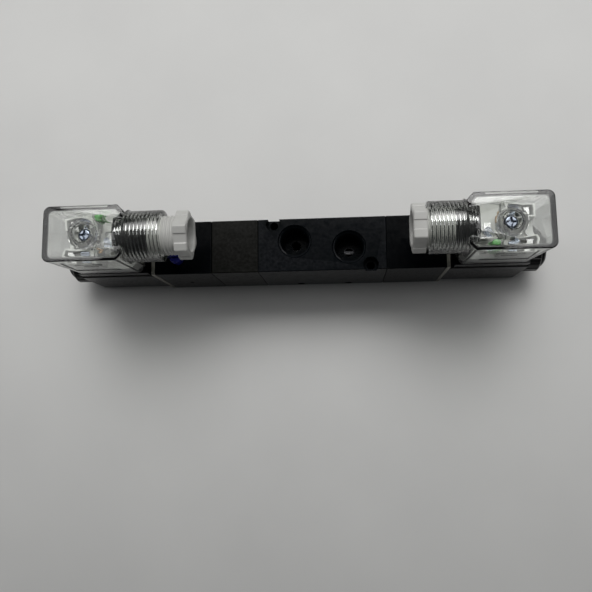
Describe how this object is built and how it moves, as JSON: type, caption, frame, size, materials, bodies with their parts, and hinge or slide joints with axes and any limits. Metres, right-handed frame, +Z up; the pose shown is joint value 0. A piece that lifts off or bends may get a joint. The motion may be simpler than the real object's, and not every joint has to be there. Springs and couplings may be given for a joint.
{
  "type": "solenoid directional valve",
  "caption": "Pneumatic directional valve with a black body, a spring-centred spool, a coil and clear cable plug at each end, and manual overrides.",
  "frame": {"origin": "centre of the main body's bottom face, midway between the two manifold screw holes", "axes": "+X along the valve towards the end without the centring housing, +Y towards the side away from the cross-drilled holes' front mouths, +Z up through the outlet ports"},
  "size_m": [0.2061, 0.022, 0.0673],
  "materials": {
    "body_black": "black anodised aluminium, satin",
    "housing_olive": "dark grey anodised aluminium, satin",
    "spool_metal": "ground and polished",
    "seal_rubber": "black nitrile rubber",
    "spring_steel": "drawn spring wire",
    "turned_steel": "turned steel",
    "stainless": "turned magnetic stainless steel",
    "pilot_plastic": "moulded black, fine grain",
    "plate_zinc": "zinc plated, punched",
    "coil_plastic": "moulded black, satin",
    "coil_nut_plastic": "moulded black",
    "override_blue": "moulded deep blue",
    "clear_plastic": "clear polycarbonate, polished",
    "insert_plastic": "moulded light grey",
    "board": "laminate with grey resist",
    "gland_nylon": "moulded off-white nylon",
    "piston_plastic": "machined acetal",
    "seat_brass": "turned",
    "winding_copper": "enamelled copper wire",
    "tinned_metal": "bright tin plate",
    "screw_zinc": "bright blue zinc plate",
    "led_green": "tinted clear resin",
    "resistor_tan": "lacquered",
    "suppressor": "dark moulded resin"
  },
  "bodies": {
    "valve": {"main_body": "body_black", "centring_housing": "housing_olive", "pilot_body_left": "pilot_plastic", "fixed_plate_left": "plate_zinc", "armature_tube_left": "stainless", "plunger_spring_left": "spring_steel", "coil_body_left": "coil_plastic", "coil_nut_left": "coil_nut_plastic", "override_spring_left": "spring_steel", "connector_housing_left": "clear_plastic", "connector_gasket_left": "seal_rubber", "terminal_insert_left": "insert_plastic", "led_board_left": "board", "gland_grommet_left": "seal_rubber", "pilot_body_right": "pilot_plastic", "fixed_plate_right": "plate_zinc", "armature_tube_right": "stainless", "plunger_spring_right": "spring_steel", "coil_body_right": "coil_plastic", "coil_nut_right": "coil_nut_plastic", "override_spring_right": "spring_steel", "connector_housing_right": "clear_plastic", "connector_gasket_right": "seal_rubber", "terminal_insert_right": "insert_plastic", "led_board_right": "board", "gland_grommet_right": "seal_rubber", "pilot_seats": "seat_brass", "override_pins": "turned_steel", "fixed_cores": "stainless", "flux_washers": "turned_steel", "coil_windings": "winding_copper", "coil_blades": "tinned_metal", "terminal_clamps": "tinned_metal", "terminal_screws": "screw_zinc", "connector_screws": "screw_zinc", "indicator_leds": "led_green", "led_resistors": "resistor_tan", "surge_suppressors": "suppressor", "end_screws": "screw_zinc", "body_gaskets": "seal_rubber"},
    "spool": {"spool": "spool_metal", "spool_seals": "seal_rubber", "pistons": "piston_plastic", "piston_seals": "seal_rubber", "centring_spring": "spring_steel", "centring_spring_seats": "turned_steel", "centring_clip": "spring_steel"},
    "plunger_left": {"plunger_left": "stainless", "plunger_seal_left": "seal_rubber"},
    "override_seal_left": {"override_oring_left": "seal_rubber"},
    "override_button_left": {"override_button_left": "override_blue"},
    "gland_washer_left": {"gland_washer_left": "gland_nylon"},
    "gland_nut_left": {"gland_nut_left": "gland_nylon"},
    "plunger_right": {"plunger_right": "stainless", "plunger_seal_right": "seal_rubber"},
    "override_seal_right": {"override_oring_right": "seal_rubber"},
    "override_button_right": {"override_button_right": "override_blue"},
    "gland_washer_right": {"gland_washer_right": "gland_nylon"},
    "gland_nut_right": {"gland_nut_right": "gland_nylon"}
  },
  "joints": [
    {"name": "spool_slide", "type": "slide", "parent": "valve", "child": "spool", "axis": [1, 0, 0], "range_m": [-0.003, 0.003], "stiffness_N_per_m": 1500},
    {"name": "plunger_slide_left", "type": "slide", "parent": "valve", "child": "plunger_left", "axis": [-1, 0, 0], "range_m": [0, 0.0008], "stiffness_N_per_m": 600, "springref_m": -0.003, "deforming": ["plunger_spring_left"]},
    {"name": "override_press_left", "type": "slide", "parent": "valve", "child": "override_seal_left", "axis": [0, 0, -1], "range_m": [0, 0.0018], "stiffness_N_per_m": 500, "springref_m": -0.002, "deforming": ["override_spring_left"]},
    {"name": "override_turn_left", "type": "hinge", "parent": "override_seal_left", "child": "override_button_left", "pos_m": [-0.0597, -0.0047, 0.035], "axis": [0, 0, 1], "range_deg": [0, 90]},
    {"name": "plunger_slide_right", "type": "slide", "parent": "valve", "child": "plunger_right", "axis": [1, 0, 0], "range_m": [0, 0.0008], "stiffness_N_per_m": 600, "springref_m": -0.003, "deforming": ["plunger_spring_right"]},
    {"name": "override_press_right", "type": "slide", "parent": "valve", "child": "override_seal_right", "axis": [0, 0, -1], "range_m": [0, 0.0018], "stiffness_N_per_m": 500, "springref_m": -0.002, "deforming": ["override_spring_right"]},
    {"name": "override_turn_right", "type": "hinge", "parent": "override_seal_right", "child": "override_button_right", "pos_m": [0.0404, 0.0047, 0.035], "axis": [0, 0, 1], "range_deg": [0, 90]},
    {"name": "gland_screw_in_left", "type": "slide", "parent": "valve", "child": "gland_washer_left", "axis": [1, 0, 0], "range_m": [-0.00515, 0.0024]},
    {"name": "gland_turn_left", "type": "hinge", "parent": "gland_washer_left", "child": "gland_nut_left", "pos_m": [-0.05895, 0, 0.057], "axis": [1, 0, 0], "range_deg": [-1312.6, 611.7]},
    {"name": "gland_screw_in_right", "type": "slide", "parent": "valve", "child": "gland_washer_right", "axis": [1, 0, 0], "range_m": [-0.0071, 0.00045]},
    {"name": "gland_turn_right", "type": "hinge", "parent": "gland_washer_right", "child": "gland_nut_right", "pos_m": [0.03965, 0, 0.057], "axis": [1, 0, 0], "range_deg": [-1809.7, 114.7]}
  ],
  "couplings": [
    {"joint": "gland_screw_in_left", "follows": "gland_turn_left", "m_per_rad": 0.00022457},
    {"joint": "gland_screw_in_right", "follows": "gland_turn_right", "m_per_rad": 0.00022457}
  ]
}
